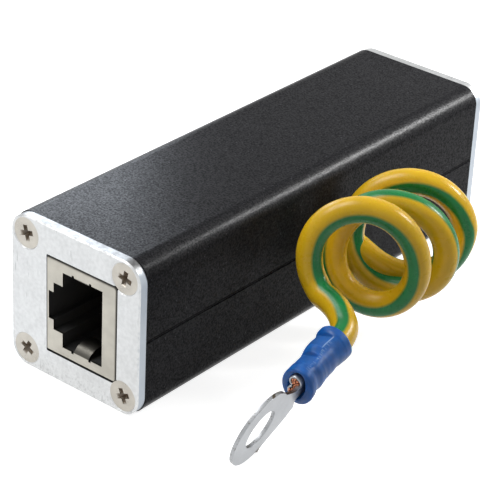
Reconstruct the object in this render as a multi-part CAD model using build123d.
"""In-line ethernet surge protector: split case, two shielded sockets on one board, and an earth wire.

X runs across the case, Y along it from the front plate to the rear one, and Z up from the face it stands on.
"""

import os
from math import cos, hypot, pi, radians, sin, sqrt, tan

from build123d import *

# Case: two extruded halves and two end plates
case_width = 25.0
case_height = 25.0
shell_length = 80.0
wall = 1.5
case_corner = 2.8
inner_corner = 1.2
plate_thickness = 1.5
plate_corner = 3.2
plate_edge_bevel = 0.22

# Seam between the halves
seam_height = 12.5
seam_gap = 0.24
tongue_height = 0.9
tongue_thickness = 0.7
tongue_clearance = 0.08
ledge_height = 0.28
ledge_depth = 0.14

# Countersunk M2.5 screws
screw_inset_x = 3.0
screw_inset_z = 2.9
screw_radius = 1.25
screw_head_radius = 2.4
screw_length = 9.0
screw_clearance = 0.06
countersink_margin = 0.14
head_gap = 0.04
screw_web = 0.05
recess_width = 0.8
recess_span = 2.5
recess_depth = 0.95
boss_radius = 2.2
front_recess_turns = (-15.0, 12.0, 28.0, -22.0)
rear_recess_turns = (8.0, -30.0, 40.0, 17.0)

# Board, standing on edge in ribs of both halves
board_face_x = -5.4
board_thickness = 1.6
board_end_gap = 1.5
board_edge_gap = 0.15
board_side_gap = 0.1
rib_thickness = 0.9
rib_height = 1.3
pin_width = 0.6
pin_clearance = 0.1
pin_overhang = 0.8
pin_row_inset = 2.0
pin_row_pitch = 2.0

# Sockets
jack_width = 15.7
jack_height = 13.4
jack_depth = 21.0
jack_drop = 0.25
jack_setback = 0.05
jack_lift = 0.1
shield_sheet = 0.3
shield_corner = 0.6
shield_fold = 0.4
cutout_gap = 0.17
cutout_shift = 0.08
cutout_corner = 0.2
mouth_floor = 3.05
mouth_height = 7.7
mouth_width = 12.4
step_height = 1.8
step_width = 7.8
latch_width = 4.6
latch_edge = 0.3
cavity_margin = 0.12
cavity_depth = 13.85
contact_count = 8
contact_pitch = 1.02
contact_thickness = 0.3
contact_width = 0.36
contact_front_inset = 1.6
contact_dip = 2.5
contact_reach = 8.2
contact_fold = 1.1
tongue_leaf_width = 2.9
tongue_leaf_sheet = 0.25
tongue_leaf_reach = 4.8
tongue_leaf_swell = 1.25
relief_width = 0.45
relief_depth = 0.28
leg_width = 1.6
leg_from_face = 9.0

# Parts on the board
tube_radius = 2.5
tube_ring_radius = 2.3
tube_margin = 1.6
tube_gap = 1.0
tube_row_gap = 1.5
tube_resistor_gap = 1.7
tube_end_length = 0.9
tube_middle_length = 1.2
tube_standoff = 0.3
diode_body = (1.5, 4.0, 5.0)
diode_wire_gap = 1.0
diode_offset_z = 4.6
diode_lead_pitch = 1.27
diode_lead_count = 4
diode_lead_width = 0.4
diode_lead_sheet = 0.2
diode_lead_reach = 1.0
resistor_size = (0.6, 3.2, 1.6)
resistor_row_y = -2.2
resistor_margin = 0.85

# Earth wire
wire_radius = 2.0
wire_hole_clearance = 0.1
conductor_radius = 1.0
exit_y = 4.2
inner_wire_end_x = 1.0
solder_height = 1.4
solder_radius = 2.0

# Lead: from the sleeve up to the first turn of the coil
lead_route = [
    (26.7, -13.5, 11.6), (24.0, -12.5, 12.2),
    (22.0, -12.2, 12.4), (20.5, -11.7, 13.3), (19.4, -11.6, 14.7), (18.7, -11.4, 16.5),
]
# Tail: from the last turn back to the case
tail_route = [
    (28.4, 12.0, 10.8), (25.9, 9.0, 8.6), (22.7, 6.2, 8.7), (19.8, 4.6, 10.0),
    (17.2, 4.1, 11.5), (14.1, exit_y, seam_height),
]
bend_share = 0.45

# Coil: its turns lie in planes turned towards the case and dipped a little
coil_start = Vector(24.9, -8.1, 18.65)
coil_step = Vector(-0.5, 8.25, -4.7)
coil_step_change = Vector(-0.7, -0.7, 2.6)
coil_yaw = 24.7
coil_dip = 8.0
coil_radius = 7.0
coil_growth = 0.52
coil_turns = 2.5
coil_overrun = 0.5
coil_margin = 0.1
coil_sides = 24
coil_stations = 5
groove_sides = 12
groove_clearance = 0.35
groove_runs = 9
groove_overrun = 0.4
lead_straight = 5.4

# Ring terminal, in its own frame: x from the hole towards the wire, z out of the plate
terminal_place = Vector(31.61, -37.93, 5.92)
terminal_yaw = 2.45
terminal_rise = 10.5
terminal_roll = 17.9
ring_radius = 6.0
ring_hole_radius = 3.2
ring_sheet = 0.6
neck_start = 3.6
barrel_start = 9.5
barrel_length = 7.3
barrel_radius = 1.7
barrel_bore = 1.1
barrel_offset = 0.95
barrel_slot = 0.16
joggle_start = 6.4
joggle_end = 8.6
neck_overlap = 0.15
neck_width = 2.7
neck_sink = 0.06
wire_seat = 17.05
conductor_inset = 0.1
sleeve_start = 9.7
sleeve_length = 10.6
sleeve_radius = 2.42
sleeve_waist_radius = 2.36
bell_radius = 2.85
bell_length = 2.6
bell_taper = 1.2
bell_bore = 2.1
mouth_bore = 2.0
mouth_flare = 1.3
crimp_depth = 0.28
crimp_length = 2.0
crimp_place = 4.2

# Places worked out from the sizes above
shell_end = shell_length / 2
plate_face = shell_end + plate_thickness
inner_half = case_width / 2 - wall
board_back_x = board_face_x - board_thickness
board_length = shell_length - 2 * board_end_gap
jack_floor_x = board_face_x + jack_lift
jack_centre_x = jack_floor_x + jack_height / 2
jack_centre_z = case_height / 2 - jack_drop
jack_face = plate_face - jack_setback
mouth_floor_x = jack_floor_x + mouth_floor
mouth_roof_x = mouth_floor_x + mouth_height
cavity_end = jack_face - cavity_depth
jack_rear = jack_face - jack_depth
between_ribs = case_height - 2 * (wall + rib_height)
tube_length = (between_ribs - tube_gap) / 2 - tube_margin
tube_offset_z = (tube_gap + tube_length) / 2
tube_first_y = resistor_row_y - resistor_size[1] / 2 - tube_resistor_gap - tube_radius
tube_row_pitch = 2 * tube_radius + tube_row_gap
tube_row_count = int((jack_rear + tube_first_y + tube_radius + tube_row_gap) / tube_row_pitch)
tube_rows_y = [tube_first_y - i * tube_row_pitch for i in range(tube_row_count)]
diode_row_width = diode_body[1] + 2 * diode_lead_reach
diode_start_y = exit_y + wire_radius + diode_wire_gap
diode_row_count = int((jack_rear - diode_start_y) / diode_row_width)
diode_places_y = [diode_start_y + (i + 0.5) * diode_row_width for i in range(diode_row_count)]
resistor_pitch = (between_ribs - resistor_size[2] - 2 * resistor_margin) / (contact_count - 1)


def screw_place(side, level):
    """Centre of one screw: inset from the case's corner, and clear of the board and of the socket."""
    x = case_width / 2 - screw_inset_x
    z = case_height / 2 - screw_inset_z
    if side < 0:
        x = max(x, board_side_gap - board_back_x + screw_radius + screw_clearance + screw_web)
    else:
        fold_height = shield_fold - (countersink_margin - jack_setback)
        fold_inset = shield_fold - sqrt(shield_fold ** 2 - fold_height ** 2)
        reach = screw_head_radius + head_gap - fold_inset
        jack_x = jack_floor_x + jack_height
        jack_z = jack_width / 2 + level * (jack_centre_z - case_height / 2)
        away_x = max(0, x - jack_x + shield_corner)
        away_z = max(0, z - jack_z + shield_corner)
        if hypot(away_x, away_z) < reach + shield_corner:
            if jack_x + reach - x < jack_z + reach - z:
                x = jack_x + reach
            else:
                z = jack_z + reach
    return side * x, case_height / 2 + level * z


screw_places = [screw_place(side, level) for level in (1, -1) for side in (-1, 1)]


def along_case(outline, near, far):
    """Extrude an outline drawn in X and Z from y = near to y = far."""
    plane = Plane(origin=(0, far, 0), x_dir=(1, 0, 0), z_dir=(0, -1, 0))
    return extrude(plane * outline, amount=far - near)


def block(low, high):
    """A box between two corners."""
    size = [b - a for a, b in zip(low, high)]
    middle = [(a + b) / 2 for a, b in zip(low, high)]
    return Pos(*middle) * Box(*size)


def rod_x(near, far, y, z, radius):
    """A round rod along X."""
    return Pos((near + far) / 2, y, z) * Rot(0, 90, 0) * Cylinder(radius, far - near)


def bar_x(near, far, y, z, width):
    """A square bar along X."""
    return Pos((near + far) / 2, y, z) * Box(far - near, width, width)


def rod_y(near, far, x, z, radius):
    """A round rod along Y."""
    return Pos(x, (near + far) / 2, z) * Rot(90, 0, 0) * Cylinder(radius, far - near)


def strip(x_low, x_high, z_low, z_high):
    """A rectangle in the case's cross-section."""
    return Pos((x_low + x_high) / 2, (z_low + z_high) / 2) * Rectangle(x_high - x_low, z_high - z_low)


def turned_to_rear(piece):
    """The same piece at the other end, turned half round the socket's long mid-line."""
    return Pos(0, 0, 2 * jack_centre_z) * Rot(180, 0, 0) * piece


def case_section():
    """Cross-section of both halves before they are parted at the seam."""
    centre = Pos(0, case_height / 2)
    outer = centre * RectangleRounded(case_width, case_height, case_corner)
    inner = centre * RectangleRounded(case_width - 2 * wall, case_height - 2 * wall, inner_corner)
    section = outer - inner
    for x, z in screw_places:
        section += (Pos(x, z) * Circle(boss_radius)) & outer
    section -= strip(
        board_back_x - board_side_gap, board_face_x + board_side_gap, wall, case_height - wall,
    )
    front_rib = board_face_x + board_side_gap
    back_rib = board_back_x - board_side_gap - rib_thickness
    floor_rib = (wall / 2, wall + rib_height)
    roof_rib = (case_height - wall - rib_height, case_height - wall / 2)
    for low, high in (floor_rib, roof_rib):
        section += strip(front_rib, front_rib + rib_thickness, low, high)
        section += strip(back_rib, back_rib + rib_thickness, low, high)
    for x, z in screw_places:
        section -= Pos(x, z) * Circle(screw_radius + screw_clearance)
    return section


def wire_hole(radius):
    """The round hole on the seam that the earth wire leaves through."""
    return rod_x(inner_half - wall, case_width / 2 + wall, exit_y, seam_height, radius)


def shells():
    """The two halves: the lower one carries the tongues, the upper one the rebates."""
    section = case_section()
    lip = seam_height - seam_gap / 2
    lower_area = strip(-case_width, case_width, -wall, lip)
    upper_area = strip(-case_width, case_width, seam_height + seam_gap / 2, case_height + wall)
    for side in (-1, 1):
        inner = side * inner_half
        tongue = side * (inner_half + tongue_thickness)
        low, high = sorted((inner, tongue))
        lower_area += strip(low, high, lip - wall, seam_height + tongue_height)
        slack = tongue_clearance
        upper_area -= strip(low - slack, high + slack, lip, seam_height + tongue_height + slack)
        outer = side * case_width / 2
        ledge = side * (case_width / 2 - ledge_depth)
        low, high = sorted((ledge, outer + side * wall))
        lower_area -= strip(low, high, lip - ledge_height, lip + wall)
    hole = wire_hole(wire_radius + wire_hole_clearance)
    lower = along_case(section & lower_area, -shell_end, shell_end) - hole
    upper = along_case(section & upper_area, -shell_end, shell_end) - hole
    return upper, lower


def end_plate():
    """Front plate: socket cut-out, countersunk holes and a bevelled outer edge."""
    outline = Pos(0, case_height / 2) * RectangleRounded(case_width, case_height, plate_corner)
    plate = along_case(outline, -plate_face, -shell_end)
    outer_edges = plate.faces().sort_by(Axis.Y)[0].edges()
    plate = chamfer(outer_edges, plate_edge_bevel)
    cutout = RectangleRounded(jack_height + 2 * cutout_gap, jack_width + 2 * cutout_gap, cutout_corner)
    place = Pos(jack_centre_x + cutout_shift, jack_centre_z + cutout_shift)
    plate -= along_case(place * cutout, -plate_face - wall, -shell_end + wall)
    for x, z in screw_places:
        plate -= rod_y(-plate_face, -shell_end, x, z, screw_radius + screw_clearance)
        plate -= countersink(x, z, screw_head_radius + countersink_margin)
    return plate


def countersink(x, z, radius):
    """A 90 degree cone whose wide end lies in the front face."""
    plane = Plane(origin=(x, -plate_face, z), x_dir=(1, 0, 0), z_dir=(0, 1, 0))
    depth = radius - screw_radius
    return plane * Pos(0, 0, depth / 2) * Cone(radius, screw_radius, depth)


def screws(turns):
    """Four countersunk screws, set a little below the face, with a cross recess each."""
    head_face = -plate_face + countersink_margin
    pieces = []
    for (x, z), turn in zip(screw_places, turns):
        shank = rod_y(head_face, head_face + screw_length, x, z, screw_radius)
        head = Pos(0, countersink_margin, 0) * countersink(x, z, screw_head_radius)
        screw = shank + head
        place = Plane(origin=(x, head_face, z), x_dir=(1, 0, 0), z_dir=(0, 1, 0)) * Rot(0, 0, turn)
        for quarter in (0, 90):
            slot = Rectangle(recess_span, recess_width)
            tip = Pos(0, 0, recess_depth) * Rectangle(recess_width, recess_width / 2)
            cutter = loft([Sketch() + slot, Sketch() + tip], ruled=True)
            screw -= place * Rot(0, 0, quarter) * cutter
        pieces.append(screw)
    return Compound(children=pieces)


def mouth_outline(margin):
    """Opening of the socket: plug body, step and latch notch, drawn in X and Z."""
    half = mouth_width / 2 + margin
    middle = Pos(0, jack_centre_z)
    outline = middle * strip(mouth_floor_x - margin, mouth_roof_x + margin, -half, half)
    half = step_width / 2 + margin
    outline += middle * strip(mouth_floor_x - step_height - margin, mouth_floor_x, -half, half)
    half = latch_width / 2 + margin
    outline += middle * strip(jack_floor_x + latch_edge - margin, mouth_floor_x, -half, half)
    return outline


def jack_body_outline(inset):
    """Outer rectangle of the socket, open towards the board, less an inset on three sides."""
    half = jack_width / 2 - inset
    low, high = jack_centre_z - half, jack_centre_z + half
    return strip(jack_floor_x, jack_floor_x + jack_height - inset, low, high)


def jack_shield():
    """Folded sheet round five sides, with side spring leaves and two board legs."""
    body = along_case(jack_body_outline(0), -jack_face, -jack_rear)
    roof_edges = body.edges().filter_by(Axis.Y).group_by(Axis.X)[-1]
    body = fillet(roof_edges, shield_corner)
    face_edges = body.faces().sort_by(Axis.Y)[0].edges()
    body = fillet(face_edges.sort_by(Axis.X)[1:], shield_fold)
    body -= along_case(jack_body_outline(shield_sheet), -jack_face + shield_sheet, -jack_rear - shield_sheet)
    body -= along_case(mouth_outline(0), -jack_face - wall, -jack_face + shield_sheet)
    for side in (-1, 1):
        edge = jack_centre_z + side * (jack_width / 2 - shield_sheet)
        outer = jack_centre_z + side * jack_width / 2
        low, high = sorted((edge, outer))
        y = -jack_face + leg_from_face
        leg = block((board_back_x - pin_overhang, y, low), (jack_floor_x, y + leg_width, high))
        body += leg
        body -= relief_cuts(side)
        body += spring_leaf(side)
    return body


def relief_cuts(side):
    """Two small notches in the mouth's edge, beside the root of the leaf."""
    edge = jack_centre_z + side * mouth_width / 2
    low, high = sorted((edge - side * relief_depth, edge + side * relief_depth))
    cuts = []
    for way in (-1, 1):
        x = jack_centre_x + way * (tongue_leaf_width + relief_width) / 2
        half = relief_width / 2
        cuts.append(block((x - half, -jack_face - wall, low), (x + half, -jack_face + shield_sheet, high)))
    return cuts


def spring_leaf(side):
    """Leaf folded in from the mouth's edge, swelling inwards and running back beside the plug."""
    edge = jack_centre_z + side * mouth_width / 2
    front = -jack_face
    back = front + tongue_leaf_reach
    swell = edge - side * tongue_leaf_swell
    middle = (front + back) / 2
    with_sheet = tongue_leaf_sheet * side
    outer = ThreePointArc((front, edge), (middle, swell), (back, edge - side * tongue_leaf_sheet))
    inner = ThreePointArc(
        (front, edge + with_sheet), (middle, swell + with_sheet), (back, edge)
    )
    ends = Line((front, edge), (front, edge + with_sheet)) + Line((back, edge - with_sheet), (back, edge))
    face = make_face(outer + inner + ends)
    x_low = jack_centre_x - tongue_leaf_width / 2
    plane = Plane(origin=(x_low, 0, 0), x_dir=(0, 1, 0), z_dir=(1, 0, 0))
    return extrude(plane * face, amount=tongue_leaf_width)


def jack_housing():
    """Moulding round the plug's cavity, with its step, its latch channel and pockets for the leaves."""
    outline = jack_body_outline(shield_sheet)
    body = along_case(outline, -jack_face + shield_sheet, -cavity_end)
    body -= along_case(mouth_outline(cavity_margin), -jack_face, -cavity_end + wall)
    pocket = mouth_width / 2 + tongue_leaf_sheet + cavity_margin
    x_half = tongue_leaf_width / 2 + cavity_margin
    front = -jack_face + shield_sheet
    body -= block(
        (jack_centre_x - x_half, front, jack_centre_z - pocket),
        (jack_centre_x + x_half, front + tongue_leaf_reach, jack_centre_z + pocket),
    )
    return body


def contact_rows():
    """Heights of the eight contacts."""
    middle = (contact_count - 1) / 2
    return [jack_centre_z + (i - middle) * contact_pitch for i in range(contact_count)]


def jack_contacts():
    """Wires along the cavity's roof that fold back and dip towards the plug."""
    top = mouth_roof_x + cavity_margin
    front = -jack_face + contact_front_inset
    tip_x, tip_y = top - contact_dip, front + contact_reach
    sheet = contact_thickness
    outline = make_face(Polyline(
        (top, -cavity_end), (top, front), (top - contact_fold, front), (tip_x, tip_y),
        (tip_x + sheet, tip_y), (top - contact_fold, front + sheet), (top - sheet, front + sheet),
        (top - sheet, -cavity_end), close=True,
    ))
    pieces = []
    for z in contact_rows():
        pieces.append(extrude(Pos(0, 0, z - contact_width / 2) * outline, amount=contact_width))
    return Compound(children=pieces)


def jack_carrier():
    """Rear block that the contacts are moulded into, closing the cavity."""
    return along_case(jack_body_outline(shield_sheet), -cavity_end, -jack_rear - shield_sheet)


def pin_places():
    """Places of the front socket's pins on the board, in two staggered rows."""
    first = -cavity_end + pin_row_inset
    return [(first + pin_row_pitch * (i % 2), z) for i, z in enumerate(contact_rows())]


def jack_pins():
    """Solder pins from the carrier through the board."""
    far = board_back_x - pin_overhang
    return Compound(children=[bar_x(far, jack_floor_x, y, z, pin_width) for y, z in pin_places()])


def gas_tubes():
    """Three-electrode discharge tubes lying along Z: ceramic rings, and metal discs with their leads."""
    centre_x = board_face_x + tube_standoff + tube_radius
    ring_length = (tube_length - 2 * tube_end_length - tube_middle_length) / 2
    rings, discs = [], []
    for y in tube_rows_y:
        for side in (-1, 1):
            middle = case_height / 2 + side * tube_offset_z
            for way in (-1, 1):
                ring = middle + way * (tube_middle_length + ring_length) / 2
                rings.append(Pos(centre_x, y, ring) * Cylinder(tube_ring_radius, ring_length))
                end = middle + way * (tube_length - tube_end_length) / 2
                discs.append(tube_electrode(centre_x, y, end, tube_end_length))
            discs.append(tube_electrode(centre_x, y, middle, tube_middle_length))
    return Compound(children=rings), Compound(children=discs)


def tube_electrode(x, y, z, length):
    """One disc and its lead down through the board."""
    disc = Pos(x, y, z) * Cylinder(tube_radius, length)
    return disc + bar_x(board_back_x - pin_overhang, x, y, z, pin_width)


def tube_lead_places():
    """Places of the discharge tubes' leads on the board."""
    places = []
    for y in tube_rows_y:
        for side in (-1, 1):
            middle = case_height / 2 + side * tube_offset_z
            reach = (tube_length - tube_end_length) / 2
            places += [(y, middle - reach), (y, middle), (y, middle + reach)]
    return places


def clamp_diodes():
    """Two pairs of moulded diode arrays and their bent leads."""
    depth, width, height = diode_body
    bodies, leads = [], []
    middle = (diode_lead_count - 1) / 2
    for y in diode_places_y:
        for side in (-1, 1):
            z = case_height / 2 + side * diode_offset_z
            base = board_face_x + diode_lead_sheet
            low = (base, y - width / 2, z - height / 2)
            bodies.append(block(low, (base + depth, y + width / 2, z + height / 2)))
            for i in range(diode_lead_count):
                at = z + (i - middle) * diode_lead_pitch
                for way in (-1, 1):
                    near = y + way * width / 2
                    leads.append(diode_lead(near, way, at, base + depth / 2))
    return Compound(children=bodies), Compound(children=leads)


def diode_lead(near, way, z, top):
    """One lead: out of the body, down to the board and along it."""
    far = near + way * diode_lead_reach
    knee = near + way * diode_lead_reach / 2
    low, high = z - diode_lead_width / 2, z + diode_lead_width / 2
    sheet = diode_lead_sheet
    y_low, y_high = sorted((near, knee))
    lead = block((top - sheet, y_low, low), (top, y_high, high))
    y_low, y_high = sorted((knee - way * sheet, knee))
    lead += block((board_face_x, y_low, low), (top, y_high, high))
    y_low, y_high = sorted((knee - way * sheet, far))
    return lead + block((board_face_x, y_low, low), (board_face_x + sheet, y_high, high))


def line_resistors():
    """One small resistor in each of the eight lines."""
    height, length, width = resistor_size
    middle = (contact_count - 1) / 2
    pieces = []
    for i in range(contact_count):
        z = case_height / 2 + (i - middle) * resistor_pitch
        pieces.append(block(
            (board_face_x, resistor_row_y - length / 2, z - width / 2),
            (board_face_x + height, resistor_row_y + length / 2, z + width / 2),
        ))
    return Compound(children=pieces)


def board_slot(y, z, width):
    """A square bar through the board, to cut a hole."""
    return bar_x(board_back_x - wall, board_face_x + wall, y, z, width)


def circuit_board():
    """Board with holes for the sockets' pins and legs, the tubes' leads and the earth conductor."""
    low = wall + board_edge_gap
    half = board_length / 2
    board = block((board_back_x, -half, low), (board_face_x, half, case_height - low))
    hole = pin_width + 2 * pin_clearance
    for y, z in pin_places():
        board -= board_slot(y, z, hole)
        board -= board_slot(-y, 2 * jack_centre_z - z, hole)
    for y, z in tube_lead_places():
        board -= board_slot(y, z, hole)
    bore = conductor_radius + pin_clearance
    board -= rod_x(board_back_x - wall, board_face_x + wall, exit_y, seam_height, bore)
    for side in (-1, 1):
        z = jack_centre_z + side * (jack_width - shield_sheet) / 2
        y = -jack_face + leg_from_face + leg_width / 2
        for way in (-1, 1):
            reach = leg_width / 2 + pin_clearance
            thick = shield_sheet / 2 + pin_clearance
            board -= block(
                (board_back_x - wall, way * y - reach, z - thick),
                (board_face_x + wall, way * y + reach, z + thick),
            )
    return board


def inner_wire():
    """Insulated end inside the case and its bare conductor through the board."""
    insulated = rod_x(inner_wire_end_x, case_width / 2, exit_y, seam_height, wire_radius)
    bare = rod_x(board_back_x - pin_overhang, inner_wire_end_x, exit_y, seam_height, conductor_radius)
    return insulated, bare


def solder_joint():
    """Cone of solder round the conductor on the board's face."""
    middle = board_face_x + solder_height / 2
    cone = Cone(solder_radius, conductor_radius + pin_clearance, solder_height)
    bore = rod_x(board_back_x, inner_wire_end_x, exit_y, seam_height, conductor_radius)
    return Pos(middle, exit_y, seam_height) * Rot(0, 90, 0) * cone - bore


def coil_frame():
    """Unit vectors of the turns: side (towards the case), up, and along the coil."""
    yaw, dip = radians(-coil_yaw), radians(-coil_dip)
    along = Vector(sin(yaw) * cos(dip), cos(yaw) * cos(dip), sin(dip))
    side = Vector(0, 0, 1).cross(along).normalized()
    return side, along.cross(side), along


def coil_centre(turn):
    """Centre of the coil after a number of turns."""
    return coil_start + coil_step * turn + coil_step_change * (turn * turn / 2)


def coil_point(turn):
    """Middle of the wire after a number of turns, counted from the side that faces the case."""
    side, up, _ = coil_frame()
    angle = radians(360 * turn)
    radius = coil_radius + coil_growth * turn
    return coil_centre(turn) + side * (radius * cos(angle)) + up * (radius * sin(angle))


def coil_disc(turn, radius):
    """Many-sided disc round the coil's centre line, in the plane of its turns."""
    side, _, along = coil_frame()
    disc = RegularPolygon(radius, coil_sides, rotation=180 / coil_sides)
    return (Plane(origin=coil_centre(turn), x_dir=side, z_dir=along) * disc).face()


def groove(path, reach):
    """Many-sided channel that follows a path in short straight runs, each a little too long."""
    points = [path @ (i / groove_runs) for i in range(groove_runs + 1)]
    channel = None
    for start, end in zip(points, points[1:]):
        run = end - start
        plane = Plane(origin=start - run.normalized() * groove_overrun, z_dir=run)
        outline = plane * RegularPolygon(reach, groove_sides, major_radius=False)
        piece = extrude(outline, amount=run.length + 2 * groove_overrun)
        channel = piece if channel is None else channel + piece
    return channel


def coil_solid(lead_path, tail_path):
    """Closed outer shape of the coil: a leaning ring, grooved where the lead and the tail cross it."""
    span = (coil_turns + 2 * coil_overrun) / (coil_stations - 1)
    spans = [span * i - coil_overrun for i in range(coil_stations)]
    radii = [coil_radius + coil_growth * turn for turn in spans]
    reach = wire_radius + coil_margin
    body = loft([coil_disc(turn, r + reach) for turn, r in zip(spans, radii)], ruled=True)
    body -= loft([coil_disc(turn, r - reach) for turn, r in zip(spans, radii)], ruled=True)
    _, up, along = coil_frame()
    for first, way in ((0, -1), (coil_turns - 0.5, 1)):
        near_case, far_side = coil_point(first), coil_point(first + 0.5)
        normal = (far_side - near_case).cross(up).normalized()
        if normal.dot(along) * way < 0:
            normal = normal * -1
        plane = Plane(origin=near_case + normal * reach, z_dir=normal)
        body = split(body, bisect_by=plane, keep=Keep.BOTTOM)
    reach = wire_radius + groove_clearance
    body = body - groove(lead_path, reach) - groove(tail_path, reach)
    return body.solids().sort_by(SortBy.VOLUME)[-1]


def bend_radii(points):
    """The largest arcs that the runs on both sides of each corner allow."""
    radii = []
    for before, corner, after in zip(points, points[1:], points[2:]):
        first, second = corner - before, after - corner
        half_turn = radians(first.get_angle(second)) / 2
        radii.append(bend_share * min(first.length, second.length) / tan(half_turn))
    return radii


def cord_path(points):
    """Straight runs joined by tangent arcs."""
    return FilletPolyline(*points, radius=bend_radii(points))


def tube(path, radius):
    """Round section swept along a path."""
    start = Plane(origin=path @ 0, z_dir=path % 0)
    return sweep(start * Circle(radius), path=path)


def terminal_frame():
    """Plane of the ring: x towards the wire, z out of the plate, origin at the hole's centre."""
    yaw, rise, roll = (radians(a) for a in (terminal_yaw, terminal_rise, terminal_roll))
    along = Vector(-sin(yaw) * cos(rise), cos(yaw) * cos(rise), sin(rise))
    level = along.cross(Vector(0, 0, 1)).normalized()
    upright = level.cross(along)
    normal = level * cos(roll) - upright * sin(roll)
    return Plane(origin=terminal_place, x_dir=along, z_dir=normal)


def ring_terminal():
    """Stamped ring, joggled neck and rolled barrel with its open seam."""
    plan = Circle(ring_radius)
    shoulder = sqrt(ring_radius ** 2 - neck_start ** 2)
    half = neck_width / 2
    end = barrel_start + neck_overlap
    plan += make_face(Polyline(
        (neck_start, -shoulder), (joggle_end, -half), (end, -half),
        (end, half), (joggle_end, half), (neck_start, shoulder), close=True,
    ))
    plan -= Circle(ring_hole_radius)
    top = ring_sheet / 2
    rise = barrel_radius - top - barrel_offset - neck_sink
    profile = make_face(Polyline(
        (-ring_radius - 1, -top), (joggle_start, -top), (joggle_end, rise - top), (end, rise - top),
        (end, rise + top), (joggle_end, rise + top), (joggle_start, top), (-ring_radius - 1, top),
        close=True,
    ))
    side_plane = Plane(origin=(0, ring_radius + 1, 0), x_dir=(1, 0, 0), z_dir=(0, -1, 0))
    sheet = extrude(side_plane * profile, amount=2 * ring_radius + 2)
    blank = extrude(Pos(0, 0, -ring_radius) * plan, amount=2 * ring_radius)
    barrel = barrel_rod(barrel_start, barrel_start + barrel_length, barrel_radius)
    bore = barrel_rod(barrel_start - 1, barrel_start + barrel_length + 1, barrel_bore)
    seam = block(
        (barrel_start - 1, -barrel_slot / 2, -barrel_offset - barrel_radius - 1),
        (barrel_start + barrel_length + 1, barrel_slot / 2, -barrel_offset),
    )
    return terminal_frame() * ((sheet & blank) + barrel - bore - seam)


def barrel_rod(near, far, radius):
    """A rod on the barrel's axis, in the terminal's frame."""
    return Pos((near + far) / 2, 0, -barrel_offset) * Rot(0, 90, 0) * Cylinder(radius, far - near)


def terminal_conductor():
    """Bare end of the wire's conductor inside the barrel."""
    return terminal_frame() * barrel_rod(barrel_start + conductor_inset, wire_seat, barrel_bore)


def terminal_sleeve():
    """Insulating sleeve: flared mouth, waist, and a bell over the wire, with two crimp marks."""
    end = sleeve_start + sleeve_length
    bell = end - bell_length
    barrel_end = barrel_start + barrel_length
    mouth = sleeve_start + mouth_flare
    outline = Polyline(
        (sleeve_start, mouth_bore), (sleeve_start, sleeve_radius), (mouth, sleeve_radius),
        (mouth + mouth_flare, sleeve_waist_radius), (bell - bell_taper, sleeve_waist_radius),
        (bell, bell_radius), (end, bell_radius), (end, bell_bore),
        (barrel_end, bell_bore), (barrel_end, barrel_radius), (mouth, barrel_radius), close=True,
    )
    sleeve = revolve(make_face(outline), axis=Axis.X)
    half = crimp_length / 2
    crimps = ((sleeve_start + crimp_place, sleeve_waist_radius), (bell + bell_length / 2, bell_radius))
    for middle, radius in crimps:
        for way in (-1, 1):
            low, high = sorted((way * (radius - crimp_depth), way * (radius + 1)))
            sleeve -= block((middle - half, -bell_radius, low), (middle + half, bell_radius, high))
    return terminal_frame() * Pos(0, 0, -barrel_offset) * sleeve


def build():
    """All pieces by node name."""
    upper_shell, lower_shell = shells()
    front_plate = end_plate()
    front_screws = screws(front_recess_turns)
    rear_screws = screws(rear_recess_turns)
    gas_tube_bodies, gas_tube_electrodes = gas_tubes()
    diodes, diode_leads = clamp_diodes()
    inner_insulated, inner_bare = inner_wire()
    seat = terminal_frame() * Pos(wire_seat, 0, -barrel_offset)
    bell = terminal_frame() * Pos(wire_seat + lead_straight, 0, -barrel_offset)
    lead_points = [seat.position, bell.position] + [Vector(*p) for p in lead_route] + [coil_point(0)]
    tail_points = [coil_point(coil_turns)] + [Vector(*p) for p in tail_route]
    tail_points.append(Vector(case_width / 2, exit_y, seam_height))
    lead_path, tail_path = cord_path(lead_points), cord_path(tail_points)
    pieces = {
        "upper_shell": upper_shell,
        "lower_shell": lower_shell,
        "front_end_plate": front_plate,
        "rear_end_plate": mirror(front_plate, about=Plane.XZ),
        "front_plate_screws": front_screws,
        "rear_plate_screws": mirror(rear_screws, about=Plane.XZ),
        "circuit_board": circuit_board(),
        "gas_tube_bodies": gas_tube_bodies,
        "gas_tube_electrodes": gas_tube_electrodes,
        "clamp_diodes": diodes,
        "clamp_diode_leads": diode_leads,
        "line_resistors": line_resistors(),
        "earth_wire_inner": inner_insulated,
        "earth_conductor_inner": inner_bare,
        "earth_solder_joint": solder_joint(),
        "earth_wire_lead": tube(lead_path, wire_radius),
        "earth_wire_coil": coil_solid(lead_path, tail_path),
        "earth_wire_tail": tube(tail_path, wire_radius),
        "ring_terminal": ring_terminal(),
        "terminal_conductor": terminal_conductor(),
        "terminal_sleeve": terminal_sleeve(),
    }
    makers = {
        "shield": jack_shield, "housing": jack_housing, "contacts": jack_contacts,
        "carrier": jack_carrier, "pins": jack_pins,
    }
    for name, maker in makers.items():
        piece = maker()
        pieces["front_jack_" + name] = piece
        pieces["rear_jack_" + name] = turned_to_rear(piece)
    for name, path in (("earth_wire_lead", lead_path), ("earth_wire_tail", tail_path)):
        share = pieces[name].volume / (path.length * pi * wire_radius ** 2)
        print(name, "length", round(path.length, 1), "volume share", round(share, 4))
    return pieces


def main():
    os.makedirs("parts", exist_ok=True)
    for name, piece in build().items():
        export_step(piece, f"parts/{name}.step")


main()
